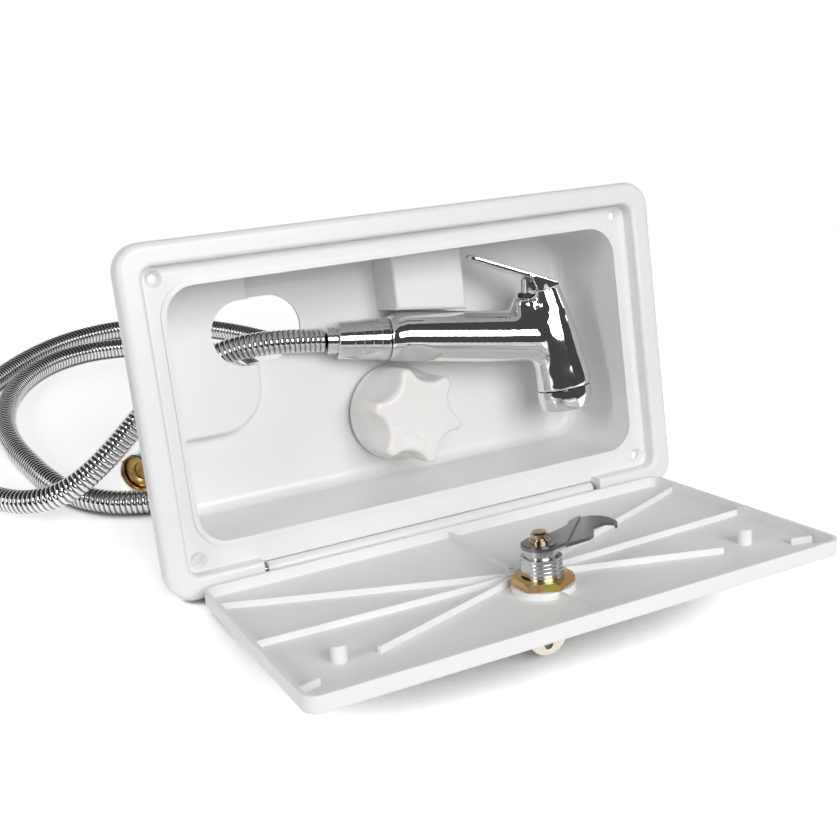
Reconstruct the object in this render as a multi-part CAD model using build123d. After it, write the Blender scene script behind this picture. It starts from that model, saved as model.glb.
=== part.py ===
from build123d import *
import math
import os

# External shower box for the outside wall of a camper or boat: a moulded flange and tray with a lockable lid,
# a valve with a six-lobed knob, and a hand sprayer on a ribbed metal hose that passes through the tray.
# Frame in millimetres: X to the right, Y into the wall, Z up.
# The origin is the centre of the flange's back face, the plane of the wall that it is screwed to.

# Flange
flange_width = 315.0
flange_height = 183.0
flange_depth = 12.0
flange_corner = 14.5
flange_round = 4.0
flange_skirt = 3.0
channel_front = 3.0
recess_width = 290.0
recess_height = 158.0
recess_corner = 6.0
recess_round = 2.2
recess_wall = 2.5
seat_thickness = 3.3
seat_y = -seat_thickness

# Tray
opening_width = 269.2
opening_height = 133.4
opening_z = 0.6
opening_corner = 16.0
opening_lip = 2.8
opening_lip_height = 1.0
wall = 2.5
tray_back_y = 56.0
side_draft = 1.5
floor_draft = 3.0
tray_back_round = 7.0
block_round = 2.5

# Raised areas of the tray's back
platform_y = 46.0
platform_right_x = -75.0
platform_low_z = -19.0
platform_corner = 25.0
cradle_top_y = 26.5
cradle_top_x = (5.0, 50.0)
cradle_gap = 0.6
cradle_low_y = 32.0
cradle_low_outline = ((72, -7), (112, -12.5), (126, -20), (134, -27), (200, -27), (200, -200), (115, -200))
cradle_low_corner = 5.0

# Hose hole
hose_hole_x = -72.1
hose_hole_z = 35.3
hose_hole_spread = 18.8
hose_hole_height = 37.0

# Wall screws
screw_x = 138.0
screw_z = 72.85
screw_hole_r = 2.25
screw_head_r = 4.5

# Lid and its hinge
lid_gap = 3.0
lid_thickness = 8.4
lid_plate = 2.4
lid_wall = 2.2
lid_corner = 8.0
lid_round = 1.6
lid_open_deg = 93.77
rib_height = 3.3
rib_width = 1.8
rib_centre_s = 81.0
rib_ends = ((139.5, 19.0), (139.5, 76.3), (95.3, 117.6))
rib_stub = ((128.0, 130.0), (138.5, 133.5))
post_x = 112.5
post_s = 113.5
post_r = 3.8
post_over_rim = 2.0
gate_s = 75.0
gate_r = 3.3
hinge_y = -5.4
hinge_z = -85.2
hinge_r = 3.7
hinge_x = (-103.0, 101.0)
hinge_side_gap = 3.2
hinge_pocket_low_z = -89.25
hinge_groove_gap = 0.6
leaf_front = 3.2
leaf_thickness = 2.5
pin_r = 1.5
pin_length = 16.0
pin_in_border = 8.0

# Lock, measured from the lid's rim plane towards the tray
lock_x = 0.0
lock_s = 100.0
lock_pad_r = 15.5
lock_pad_height = 3.4
lock_body_r = 10.2
lock_thread_depth = 0.5
lock_thread_pitch = 1.9
lock_flat = 9.0
lock_neck_r = 8.3
lock_neck_height = 4.4
lock_groove = 0.8
lock_body_end = 15.8
lock_head_r = 13.0
lock_head_height = 2.0
lock_nut_across = 27.0
lock_nut_height = 4.0
plug_r = 5.2
plug_square = 7.6
cam_thickness = 1.7
cam_crank = 1.2
cam_crank_reach = 12.0
cam_crank_deg = 43.0
cam_root_r = 9.5
cam_outline = (
    (0, -9.5), (10, -8.6), (21, -12.3), (24.5, -14), (28.2, -18.2), (33.7, -20.6), (39, -22.2), (42.9, -20.8),
    (46.6, -17.3), (48.3, -12.6), (48.2, -7.4), (47.5, -3.8), (44.3, 0.4), (43.1, 0.3), (45.2, -3.9), (42.7, -7.2),
    (38.4, -7), (33.4, -5.8), (30.7, 0.2), (27.7, 4.3), (24.2, 6), (12, 6.8), (0, 9.5),
)
cam_washer_height = 0.7
cam_washer_r = 8.4
cam_nut_r = 5.3
cam_nut_height = 1.4
stud_r = 4.3
stud_end = 23.4
stud_pitch = 1.9
stud_thread_depth = 0.6
key_bow_r = 11.0
key_thickness = 2.2
key_blade_width = 6.2
key_blade_depth = 14.0
key_neck_width = 8.0
key_bow_reach = 40.0
key_hole_r = 2.6
catch_x = (-5.0, 34.0)
catch_y = (8.0, 13.8)

# Knob and valve
knob_x = 5.65
knob_z = -25.5
knob_front_y = 15.0
knob_back_y = 52.0
knob_base_r = 29.0
knob_base_height = 2.5
knob_lobe_r = 28.6
knob_valley_r = 20.5
knob_middle_valley_r = 22.6
knob_back_valley_r = 28.0
knob_tip_deg = 7.0
knob_tip_drop = 0.16
knob_in_base = 0.7
knob_lobe_deg = -20.0
knob_lobes = 6
knob_front_round = 2.6
knob_hollow_r = 16.6
knob_hollow_depth = 16.0
spindle_r = 4.0
spindle_end_y = 66.0
running_gap = 0.05
cartridge_r = 10.4
cartridge_front_y = 50.0
cartridge_back_y = 74.0
valve_nut_across = 27.0
valve_nut_gap = 0.1
valve_nut_height = 3.8
gasket_thickness = 1.5
gasket_r = 19.0
valve_boss_r = 15.5
valve_boss_length = 27.0
valve_pipe_r = 12.5
valve_pipe_y = 74.0
valve_pipe_half = 22.0
pipe_thread_r = 10.48
pipe_thread_length = 12.0
pipe_bore_r = 7.0

# Hand sprayer, in its own frame: u along the handle, v towards the wall, w up; the seam of handle and nut is at u 0
sprayer_seam = (1.9, 38.5, 19.3)
sprayer_yaw_deg = -11.31
sprayer_dip_deg = -6.99
handle_sections = ((0.0, 0.2, 13.0), (3.0, 0.8, 14.3), (8.0, 1.4, 14.95), (66.0, 0.0, 15.2), (94.0, -0.5, 15.2))
head_sections = (
    (109.4, -31.6, 11.2, 16.4, 15.0), (107.6, -20.0, 11.0, 16.3, 14.9), (103.6, -4.0, 13.0, 14.4, 14.2),
    (100.9, 11.0, 15.0, 11.9, 12.2), (97.3, 24.0, 17.0, 9.6, 8.6), (96.1, 30.0, 17.0, 8.7, 8.4),
)
head_corner_share = 0.99
bore_r = 6.0
head_chamber_r = 11.0
head_chamber_height = 12.0
dimple_radius = 60.0
dimple_depth = 0.95
dimple_u = 13.5
dimple_deg = 39.0
nut_end_u = -30.5
nut_small_r = 10.9
nut_large_r = 12.9
nut_band_u = ((-21.5, -16.0), (-11.0, -5.5))
nut_band_depth = 0.25
inlet_r = 10.2
inlet_length = 11.5
washer_height = 2.0
ferrule_flange_r = 9.9
ferrule_flange_height = 2.0
ferrule_r = 7.6
ferrule_end_u = -36.5
ferrule_ring_r = 8.3
ring_height = 11.5
face_half = (14.1, 13.0)
face_tilt_deg = 8.6
face_centre = (111.0, -44.6)
ring_edge_round = 2.0
plate_half = (11.0, 10.0)
plate_thickness = 2.0
plate_inset = 0.5
jet_r = 0.6
jet_rings = ((3, 2.6), (8, 5.4), (14, 8.2))

# Lever and plunger of the sprayer
lever_pivot = (93.5, 29.2)
lever_pin_r = 1.1
lever_tip = (49.7, 48.0)
lever_end = (101.6, 32.5)
lever_thickness = 3.0
lever_half_tip = 6.6
lever_half = 10.9
lever_cheek = 2.0
lever_cheek_low = ((84.7, 35.2), (88.8, 26.2), (91.5, 26.6), (100.4, 29.6))
lever_hole_u = 54.2
lever_hole_r = 1.4
lug_r = 2.1
plunger_u = 83.8
plunger_r = 2.2
plunger_low_w = 5.0
plunger_gap = 0.35
shoulder_r = 3.6
shoulder_w = (18.6, 20.2)
plunger_bore_r = 4.1
plunger_bore_low_w = 8.0
collar_profile = ((0, 4), (10.6, 4), (10.6, 13), (8.9, 16), (7.9, 18.4), (7.6, 20.5), (5.4, 22.8), (0, 22.8))
seal_r = 3.9
seal_height = 2.6
spring_r = 3.15
spring_wire_r = 0.35
spring_turns = 5

# Hose: its route is the centre line, from the ferrule in the sprayer's nut, out through the hole and to the end nut
hose_r = 7.0
hose_bore_r = 4.5
hose_root_r = 6.45
tray_pitch = 2.7
loops_pitch = 12.0
lying_slope = 0.2886
lying_level = -84.3
hose_first_run = 19.0
hose_tray_points = ((-70, 54.3, 27.2), (-85, 63, 26), (-100, 72, 20.5), (-117, 80, 10.5), (-134, 85.5, -1.5))
hose_air_points = (
    (-164, 85, -22.5), (-185, 87, -33.5), (-203, 92.5, -40.3), (-219, 103, -44.6), (-231.5, 118.5, -46.5), (-240, 138, -44),
)
hose_floor_points = (
    (-246, 162), (-249, 188), (-247, 216), (-239, 243), (-227, 270), (-210, 296), (-190, 322), (-169, 346), (-145, 367),
    (-118, 381), (-89, 387), (-60, 383), (-33, 370), (-9, 349), (11, 322), (27, 291), (36, 258), (37, 225), (28, 193),
    (11, 164), (-13, 140), (-42, 120), (-73, 104), (-102, 93.5), (-128, 91.5), (-151, 96.5), (-169, 109.5), (-181, 128),
    (-188, 149), (-192, 168), (-197, 194), (-199, 222), (-196, 251), (-189, 278), (-178, 303), (-162, 325), (-141, 341),
    (-117, 348), (-92, 346), (-69, 338), (-48, 324), (-31, 305), (-18, 282), (-13, 256), (-16, 230), (-28, 207),
    (-45, 190), (-67, 176),
)
end_nut_mouth = (-139.0, 120.0, -44.5)
end_nut_from = (-100.0, 158.0, -38.7)
end_nut_length = 16.0
end_nut_r = 12.0
end_nut_bore_r = 10.6
end_nut_thread = 8.0
end_ferrule_length = 12.0
end_ferrule_r = 8.0


def at_y(y):
    return Plane(origin=(0, y, 0), x_dir=(1, 0, 0), z_dir=(0, -1, 0))


def slab(outline, y_front, y_back):
    return extrude(at_y(y_back) * outline, amount=y_back - y_front)


def panel(width, height, corner, y_front, y_back, z=0.0):
    return slab(Pos(0, z) * RectangleRounded(width, height, corner), y_front, y_back)


def round_bar(x, z, radius, y_front, y_back):
    return slab(Pos(x, z) * Circle(radius), y_front, y_back)


def hexagon(x, z, across, y_front, y_back):
    return slab(Pos(x, z) * RegularPolygon(across / 2, 6, major_radius=False), y_front, y_back)


def block(x, y, z):
    size = (x[1] - x[0], y[1] - y[0], z[1] - z[0])
    middle = ((x[0] + x[1]) / 2, (y[0] + y[1]) / 2, (z[0] + z[1]) / 2)
    return Pos(*middle) * Box(*size)


def front_edges(solid):
    return solid.faces().sort_by(Axis.Y)[0].outer_wire().edges()


def back_edges(solid):
    return solid.faces().sort_by(Axis.Y)[-1].outer_wire().edges()


# Box shell

def tray_outline(y, grow):
    depth = y - seat_y
    side = depth * math.tan(math.radians(side_draft))
    floor = depth * math.tan(math.radians(floor_draft))
    width = opening_width - 2 * side + 2 * grow
    height = opening_height - side - floor + 2 * grow
    middle_z = opening_z + (floor - side) / 2
    return Pos(0, middle_z) * RectangleRounded(width, height, opening_corner + grow)


def tray_space(grow, y_front, y_back):
    return loft([at_y(y_front) * tray_outline(y_front, grow), at_y(y_back) * tray_outline(y_back, grow)], ruled=True)


def platform_outline(inset):
    reach = 400.0
    corner = platform_corner - inset
    x = platform_right_x - inset - reach / 2
    z = platform_low_z + inset + reach / 2
    return Pos(x, z) * RectangleRounded(reach, reach, corner)


def cradle_top_outline(inset):
    left, right = cradle_top_x
    reach = 200.0
    low_left = handle_top_z(left) + cradle_gap + inset
    low_right = handle_top_z(right) + cradle_gap + inset
    corners = ((left + inset, low_left), (right - inset, low_right), (right - inset, reach), (left + inset, reach))
    return Polygon(*corners, align=None)


def cradle_low_shape(inset):
    shape = Polygon(*cradle_low_outline, align=None)
    shape = fillet(shape.vertices().sort_by(Axis.X)[0], cradle_low_corner)
    return offset(shape, amount=-inset) if inset else shape


def raised_areas(inset):
    areas = []
    for outline, y in ((platform_outline, platform_y), (cradle_top_outline, cradle_top_y), (cradle_low_shape, cradle_low_y)):
        area = slab(outline(inset), y + inset, tray_back_y + wall + 1)
        areas.append(area if inset else fillet(front_edges(area), block_round))
    return areas


def hinge_pocket():
    x = (hinge_x[0] - hinge_side_gap, hinge_x[1] + hinge_side_gap)
    front = block(x, (-flange_depth - 1, seat_y), (hinge_pocket_low_z, -recess_height / 2 + 1))
    groove = Pos((x[0] + x[1]) / 2, hinge_y, hinge_z) * Rot(0, 90, 0) * Cylinder(hinge_r + hinge_groove_gap, x[1] - x[0])
    low_strip = block((x[0] - 1, x[1] + 1), (-flange_depth, 0), (-flange_height, hinge_pocket_low_z))
    return front + (groove - low_strip)


def hinge_pin_bar(side, radius):
    pocket_x = hinge_x[side] + (hinge_side_gap if side else -hinge_side_gap)
    outer_x = pocket_x + (pin_in_border if side else -pin_in_border)
    middle_x = outer_x + (-pin_length / 2 if side else pin_length / 2)
    return Pos(middle_x, hinge_y, hinge_z) * Rot(0, 90, 0) * Cylinder(radius, pin_length)


def make_box_shell():
    flange = panel(flange_width, flange_height, flange_corner, -flange_depth, 0)
    flange = fillet(front_edges(flange), flange_round)
    flange -= panel(recess_width, recess_height, recess_corner, -flange_depth - 1, seat_y)
    inner_edge = flange.faces().sort_by(Axis.Y)[0].inner_wires()[0].edges()
    flange = fillet(inner_edge, recess_round)
    skirt = 2 * flange_skirt
    channel = panel(flange_width - skirt, flange_height - skirt, flange_corner - flange_skirt, channel_front - flange_depth, 1)
    keep = 2 * recess_wall
    channel -= panel(recess_width + keep, recess_height + keep, recess_corner + recess_wall, -flange_depth, 2)
    channel -= block((-recess_width / 2, recess_width / 2), (-flange_depth, 2), (-flange_height, -recess_height / 2))
    shell = flange - channel
    tray = tray_space(wall, seat_y + 0.2, tray_back_y + wall)
    shell += fillet(back_edges(tray), tray_back_round + wall)
    lip = 2 * opening_lip
    shell += panel(opening_width + lip, opening_height + lip, opening_corner + opening_lip, seat_y - opening_lip_height, seat_y, opening_z)
    space = tray_space(0, seat_y, tray_back_y)
    space = fillet(back_edges(space), tray_back_round)
    space += panel(opening_width, opening_height, opening_corner, -flange_depth - 1, seat_y, opening_z)
    for area in raised_areas(0):
        space -= area
    shell -= space
    inner = tray_space(0, seat_y, tray_back_y + wall + 1)
    for pocket in raised_areas(wall):
        shell -= pocket & inner
    hole = Pos(hose_hole_x, hose_hole_z) * SlotCenterToCenter(hose_hole_spread, hose_hole_height)
    shell -= slab(hole, platform_y - 5, tray_back_y + wall + 5)
    shell -= round_bar(knob_x, knob_z, cartridge_r + 0.4, tray_back_y - 1, tray_back_y + wall + 1)
    shell -= block(catch_x, catch_y, (opening_z, opening_z + opening_height / 2 + wall + 3))
    for x in (-screw_x, screw_x):
        for z in (-screw_z, screw_z):
            shell -= round_bar(x, z, screw_hole_r, seat_y - 1, 1)
            sink = screw_head_r - screw_hole_r
            shell -= Pos(x, seat_y + sink / 2, z) * Rot(90, 0, 0) * Cone(screw_hole_r, screw_head_r, sink)
    shell -= hinge_pocket()
    for side in (0, 1):
        shell -= hinge_pin_bar(side, pin_r + 0.02)
    return shell


# Lid, modelled shut and then swung open on its hinge

def lid_rim_y():
    return seat_y - 0.3


def lid_height():
    return recess_height - 2 * lid_gap


def lid_z(s):
    return s - lid_height() / 2


def swing_open(shape):
    return shape.rotate(Axis((0, hinge_y, hinge_z), (1, 0, 0)), lid_open_deg)


def rib(start, end, y_front, y_back):
    (x0, s0), (x1, s1) = start, end
    length = math.hypot(x1 - x0, s1 - s0)
    angle = math.degrees(math.atan2(s1 - s0, x1 - x0))
    middle = Pos((x0 + x1) / 2, lid_z((s0 + s1) / 2)) * Rot(0, 0, angle)
    return slab(middle * Rectangle(length, rib_width), y_front, y_back)


def make_lid_shell():
    rim = lid_rim_y()
    outer = rim - lid_thickness
    plate = outer + lid_plate
    width = recess_width - 2 * lid_gap
    lid = panel(width, lid_height(), lid_corner, outer, rim)
    lid = fillet(front_edges(lid), lid_round)
    lid -= panel(width - 2 * lid_wall, lid_height() - 2 * lid_wall, lid_corner - lid_wall, plate, rim + 1)
    root = plate - 0.2
    top = plate + rib_height
    centre = (0.0, rib_centre_s)
    for side in (-1, 1):
        for x, s in rib_ends:
            lid += rib(centre, (side * x, s), root, top)
        (x0, s0), (x1, s1) = rib_stub
        lid += rib((side * x0, s0), (side * x1, s1), root, top)
        lid += round_bar(side * post_x, lid_z(post_s), post_r, root, rim + post_over_rim)
    lid += rib((0.0, lid_wall), centre, root, top)
    lid += rib((0.0, lock_s), (0.0, lid_height() - lid_wall), root, top)
    lid += round_bar(-2.0, lid_z(gate_s), gate_r, root, top + 0.3)
    lid -= Pos(-2.0, top + 1.2, lid_z(gate_s)) * Sphere(2.0)
    pad_top = plate + lock_pad_height
    lid -= round_bar(lock_x, lid_z(lock_s), lock_pad_r + 1, pad_top, rim + 1)
    lid += round_bar(lock_x, lid_z(lock_s), lock_pad_r, root, pad_top)
    lid -= lock_bar(lock_body_r + 0.1, outer - 1, rim, lock_flat + 0.1)
    barrel_length = hinge_x[1] - hinge_x[0]
    barrel_x = (hinge_x[0] + hinge_x[1]) / 2
    leaf_y = (hinge_y - leaf_front, hinge_y - leaf_front + leaf_thickness)
    lid += block(hinge_x, leaf_y, (hinge_z, lid_z(1.0)))
    lid += Pos(barrel_x, hinge_y, hinge_z) * Rot(0, 90, 0) * Cylinder(hinge_r, barrel_length)
    for side in (0, 1):
        lid -= hinge_pin_bar(side, pin_r + running_gap)
    return swing_open(lid)


def make_hinge_pins():
    return [hinge_pin_bar(side, pin_r) for side in (0, 1)]


# Lock

def lock_bar(radius, y_front, y_back, flat):
    bar = Circle(radius) & Rectangle(2 * flat, 2 * radius + 2)
    return slab(Pos(lock_x, lid_z(lock_s)) * bar, y_front, y_back)


def thread_rings(radius, depth, pitch, y_front, y_back):
    rings = []
    count = int((y_back - y_front) / pitch)
    for i in range(count):
        y = y_front + (i + 0.5) * pitch
        ring = round_bar(lock_x, lid_z(lock_s), radius + 1, y - pitch / 4, y + pitch / 4)
        rings.append(ring - round_bar(lock_x, lid_z(lock_s), radius - depth, y - pitch, y + pitch))
    return rings


def make_lock_body():
    rim = lid_rim_y()
    outer = rim - lid_thickness
    end = rim + lock_body_end
    neck_y = end - lock_neck_height
    body = lock_bar(lock_body_r, outer - 0.5, neck_y, lock_flat)
    for ring in thread_rings(lock_body_r, lock_thread_depth, lock_thread_pitch, outer + lid_plate + lock_pad_height, neck_y):
        body -= ring
    body += round_bar(lock_x, lid_z(lock_s), lock_neck_r - lock_groove, neck_y - 1, end)
    body += round_bar(lock_x, lid_z(lock_s), lock_neck_r, neck_y + lock_groove, end)
    head = round_bar(lock_x, lid_z(lock_s), lock_head_r, outer - lock_head_height, outer)
    body += fillet(front_edges(head), 0.8)
    body -= round_bar(lock_x, lid_z(lock_s), plug_r + running_gap, outer - lock_head_height - 1, end + 1)
    return swing_open(body)


def make_lock_nut():
    y = lid_rim_y() - lid_thickness + lid_plate + lock_pad_height
    turned_hexagon = Rot(0, 0, 30) * RegularPolygon(lock_nut_across / 2, 6, major_radius=False)
    nut = slab(Pos(lock_x, lid_z(lock_s)) * turned_hexagon, y, y + lock_nut_height)
    cone = Pos(lock_x, y + lock_nut_height / 2, lid_z(lock_s)) * Rot(-90, 0, 0)
    nut &= cone * Cone(lock_nut_across * 0.66, lock_nut_across * 0.54, lock_nut_height)
    nut -= lock_bar(lock_body_r + 0.02, y - 1, y + lock_nut_height + 1, lock_body_r + 1)
    return swing_open(nut)


def key_slot(width, thickness, y_front, y_back):
    return slab(Pos(lock_x, lid_z(lock_s)) * Rectangle(width, thickness), y_front, y_back)


def make_lock_plug():
    rim = lid_rim_y()
    outer = rim - lid_thickness
    end = rim + lock_body_end
    z = lid_z(lock_s)
    plug = round_bar(lock_x, z, plug_r, outer - lock_head_height - 0.4, end)
    square_end = end + cam_thickness
    square = Rectangle(plug_square, plug_square) & Circle(plug_r)
    plug += slab(Pos(lock_x, z) * square, end, square_end)
    stud = round_bar(lock_x, z, stud_r, square_end, rim + stud_end)
    stud = chamfer(back_edges(stud), 0.9)
    nut_end = square_end + cam_washer_height + cam_nut_height
    for ring in thread_rings(stud_r, stud_thread_depth, stud_pitch, nut_end, rim + stud_end):
        stud -= ring
    plug += stud
    plug -= key_slot(key_blade_width + 0.1, key_thickness + 0.1, outer - lock_head_height - 1, outer - lock_head_height + key_blade_depth)
    return swing_open(plug)


def make_lock_key():
    rim = lid_rim_y()
    head = rim - lid_thickness - lock_head_height
    bow_y = rim - key_bow_reach + key_bow_r
    z = lid_z(lock_s)
    side = Plane(origin=(lock_x, 0, z), x_dir=(1, 0, 0), z_dir=(0, 0, 1))
    blade = Pos(0, (head - 0.6 + head + key_blade_depth - 0.5) / 2) * Rectangle(key_blade_width, key_blade_depth + 0.1)
    neck = Pos(0, (bow_y + head - 0.6) / 2) * Rectangle(key_neck_width, head - 0.6 - bow_y)
    bow = Pos(0, bow_y) * Circle(key_bow_r) - Pos(0, bow_y - key_bow_r * 0.5) * Circle(key_hole_r)
    key = extrude(side * (blade + neck + bow), amount=key_thickness / 2, both=True)
    return swing_open(key)


def make_lock_cam():
    rim = lid_rim_y()
    y = rim + lock_body_end
    outline = Polygon(*cam_outline, align=None) + Circle(cam_root_r)
    here = Pos(lock_x, lid_z(lock_s))
    bend = cam_crank / 2
    turned = Rot(0, 0, cam_crank_deg)
    root_side = turned * Pos(cam_crank_reach - 100, 0) * Rectangle(200, 200)
    blade_side = turned * Pos(cam_crank_reach + bend + 100, 0) * Rectangle(200, 200)
    root = slab(here * (outline & root_side), y, y + cam_thickness)
    blade = slab(here * (outline & blade_side), y - cam_crank, y - cam_crank + cam_thickness)
    step_strip = turned * Pos(cam_crank_reach + bend / 2, 0) * Rectangle(bend + 0.01, 200)
    step = slab(here * (outline & step_strip), y - cam_crank, y + cam_thickness)
    cam = root + blade + step
    square = Pos(lock_x, lid_z(lock_s)) * (Rectangle(plug_square + 0.1, plug_square + 0.1) & Circle(plug_r + 0.05))
    cam -= slab(square, y - 3, y + 5)
    return swing_open(cam)


def make_cam_washer():
    y = lid_rim_y() + lock_body_end + cam_thickness
    z = lid_z(lock_s)
    washer = round_bar(lock_x, z, cam_washer_r, y, y + cam_washer_height)
    return swing_open(washer - round_bar(lock_x, z, stud_r + 0.02, y - 1, y + cam_washer_height + 1))


def make_cam_nut():
    y = lid_rim_y() + lock_body_end + cam_thickness + cam_washer_height
    z = lid_z(lock_s)
    nut = round_bar(lock_x, z, cam_nut_r, y, y + cam_nut_height)
    nut = fillet(back_edges(nut), 0.5)
    return swing_open(nut - round_bar(lock_x, z, stud_r + 0.02, y - 1, y + cam_nut_height + 1))


# Knob and valve

def knob_point(radius, degrees):
    angle = math.radians(degrees)
    return knob_x + radius * math.cos(angle), knob_z + radius * math.sin(angle)


def knob_outline(tip_r, valley_r):
    edge_r = tip_r - knob_tip_drop * (tip_r - valley_r)
    pitch = 360 / knob_lobes
    arcs = []
    for i in range(knob_lobes):
        tip = knob_lobe_deg + i * pitch
        before = knob_point(edge_r, tip - knob_tip_deg)
        after = knob_point(edge_r, tip + knob_tip_deg)
        beyond = knob_point(edge_r, tip + pitch - knob_tip_deg)
        arcs.append(ThreePointArc(before, knob_point(tip_r, tip), after))
        arcs.append(ThreePointArc(after, knob_point(valley_r, tip + pitch / 2), beyond))
    return make_face(arcs)


def make_knob():
    base_y = knob_back_y - knob_base_height
    depth = base_y - knob_front_y
    bevel = knob_front_round
    levels = (
        (0, knob_lobe_r - bevel, knob_valley_r - bevel),
        (0.3 * bevel, knob_lobe_r - 0.3 * bevel, knob_valley_r - 0.3 * bevel),
        (bevel, knob_lobe_r, knob_valley_r),
        (depth / 2, knob_lobe_r, knob_middle_valley_r),
        (depth + knob_in_base, knob_lobe_r, knob_back_valley_r),
    )
    star = loft([at_y(knob_front_y + deep) * knob_outline(tip_r, valley_r) for deep, tip_r, valley_r in levels], ruled=True)
    base = round_bar(knob_x, knob_z, knob_base_r, base_y, knob_back_y)
    knob = star + fillet(front_edges(base), 1.0)
    hollow_front = knob_back_y - knob_hollow_depth
    knob -= round_bar(knob_x, knob_z, knob_hollow_r, hollow_front, knob_back_y + 1)
    knob += round_bar(knob_x, knob_z, spindle_r + 3.0, hollow_front - 1, cartridge_front_y - 4.0)
    knob -= round_bar(knob_x, knob_z, spindle_r + 0.02, hollow_front - 10, knob_back_y)
    return knob


def make_valve_spindle():
    hollow_front = knob_back_y - knob_hollow_depth
    return round_bar(knob_x, knob_z, spindle_r, hollow_front - 10, spindle_end_y)


def make_valve_cartridge():
    cartridge = round_bar(knob_x, knob_z, cartridge_r, cartridge_front_y, cartridge_back_y)
    return cartridge - round_bar(knob_x, knob_z, spindle_r + running_gap, cartridge_front_y - 1, spindle_end_y + 0.5)


def make_valve_nut():
    y_back = tray_back_y - valve_nut_gap
    nut = hexagon(knob_x, knob_z, valve_nut_across, y_back - valve_nut_height, y_back)
    return nut - round_bar(knob_x, knob_z, cartridge_r + 0.02, tray_back_y - 10, tray_back_y + 1)


def make_valve_gasket():
    y = tray_back_y + wall
    gasket = round_bar(knob_x, knob_z, gasket_r, y, y + gasket_thickness)
    return gasket - round_bar(knob_x, knob_z, cartridge_r + 0.3, y - 1, y + gasket_thickness + 1)


def make_valve_body():
    y = tray_back_y + wall + gasket_thickness
    boss = round_bar(knob_x, knob_z, valve_boss_r, y, y + valve_boss_length)
    boss = fillet(back_edges(boss), 4.0)
    pipe = Cylinder(valve_pipe_r, 2 * valve_pipe_half)
    threads = Cylinder(pipe_thread_r, 2 * (valve_pipe_half + pipe_thread_length))
    body = boss + Pos(knob_x, valve_pipe_y, knob_z) * (pipe + threads)
    half_length = valve_pipe_half + pipe_thread_length
    for side in (-1, 1):
        reach = half_length - cartridge_r
        middle = knob_z + side * (cartridge_r + reach / 2 + 0.5)
        body -= Pos(knob_x, valve_pipe_y, middle) * Cylinder(pipe_bore_r, reach)
    return body - round_bar(knob_x, knob_z, cartridge_r + 0.02, y - 1, cartridge_back_y + 0.1)


# Hand sprayer

def sprayer_axes():
    yaw = math.radians(sprayer_yaw_deg)
    dip = math.radians(sprayer_dip_deg)
    along = Vector(math.cos(dip) * math.cos(yaw), math.cos(dip) * math.sin(yaw), math.sin(dip))
    up = Vector(-math.sin(dip) * math.cos(yaw), -math.sin(dip) * math.sin(yaw), math.cos(dip))
    return along, up


def sprayer_plane():
    along, up = sprayer_axes()
    return Plane(origin=sprayer_seam, x_dir=along, z_dir=up)


def place_sprayer(shape):
    return sprayer_plane().location * shape


def handle_top_z(x):
    along, up = sprayer_axes()
    u = (x - sprayer_seam[0]) / along.X
    w = handle_sections[2][1] + handle_sections[2][2]
    return sprayer_seam[2] + u * along.Z + w * up.Z


def across_u(u, w=0.0):
    return Plane(origin=(u, 0, w), x_dir=(0, 1, 0), z_dir=(1, 0, 0))


def u_bar(radius, u0, u1, w=0.0):
    return extrude(across_u(u0, w) * Circle(radius), amount=u1 - u0)


def u_turned(profile):
    plane = Plane(origin=(0, 0, 0), x_dir=(1, 0, 0), z_dir=(0, -1, 0))
    return revolve(plane * Polygon(*profile, align=None), Axis.X, 360)


def w_bar(u, radius, w0, w1):
    return Pos(u, 0, (w0 + w1) / 2) * Cylinder(radius, w1 - w0)


def tilted(u, w, tilt_deg):
    tilt = math.radians(tilt_deg)
    return Plane(origin=(u, 0, w), x_dir=(math.cos(tilt), 0, math.sin(tilt)), z_dir=(-math.sin(tilt), 0, math.cos(tilt)))


def side_cut(points, half_width):
    return extrude(at_y(0) * Polygon(*points, align=None), amount=half_width, both=True)


def lever_under_w(u):
    slope = (lever_end[1] - lever_tip[1]) / (lever_end[0] - lever_tip[0])
    drop = lever_thickness * math.hypot(1, slope)
    return lever_tip[1] + slope * (u - lever_tip[0]) - drop


def head_outline(half_u, half_v):
    return RectangleRounded(2 * half_u, 2 * half_v, head_corner_share * min(half_u, half_v))


def make_sprayer_body():
    handle = loft([across_u(u, w) * Circle(r) for u, w, r in handle_sections], ruled=True)
    head = loft([tilted(u, w, tilt) * head_outline(half_u, half_v) for u, w, tilt, half_u, half_v in head_sections])
    clear = 0.35
    left_u, right_u = lever_cheek_low[0][0] - 4, lever_end[0] + 0.6
    gap_left = (lever_pivot[0] - lug_r, lever_pivot[1] + 0.6)
    lever_room = (
        (left_u, 60), (left_u, 24.6), (88.0, 24.6), gap_left,
        (lever_pivot[0] + 1.0, lever_under_w(lever_pivot[0] + 1.0) - clear),
        (right_u, lever_under_w(right_u) - clear), (right_u, 60),
    )
    head -= side_cut(lever_room, 30)
    body = handle + head
    body += Pos(plunger_u, 0, 0) * revolve(at_y(0) * Polygon(*collar_profile, align=None), Axis.Z, 360)
    body += u_bar(inlet_r, -inlet_length, 1.0)
    body -= u_bar(bore_r, -inlet_length - 1, head_sections[0][0] - 8)
    ring_u, ring_w, ring_tilt = head_sections[0][:3]
    chamber = Pos(0, 0, head_chamber_height / 2) * Cylinder(head_chamber_r, head_chamber_height + 0.2)
    body -= tilted(ring_u, ring_w, ring_tilt).location * chamber
    body -= w_bar(plunger_u, plunger_bore_r, plunger_bore_low_w, 40)
    body -= w_bar(plunger_u, plunger_r + running_gap, plunger_low_w - 4, 12)
    body -= Pos(lever_pivot[0], 0, lever_pivot[1]) * Rot(90, 0, 0) * Cylinder(lever_pin_r + running_gap, 40)
    body -= handle_dimple()
    return place_sprayer(body)


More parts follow.
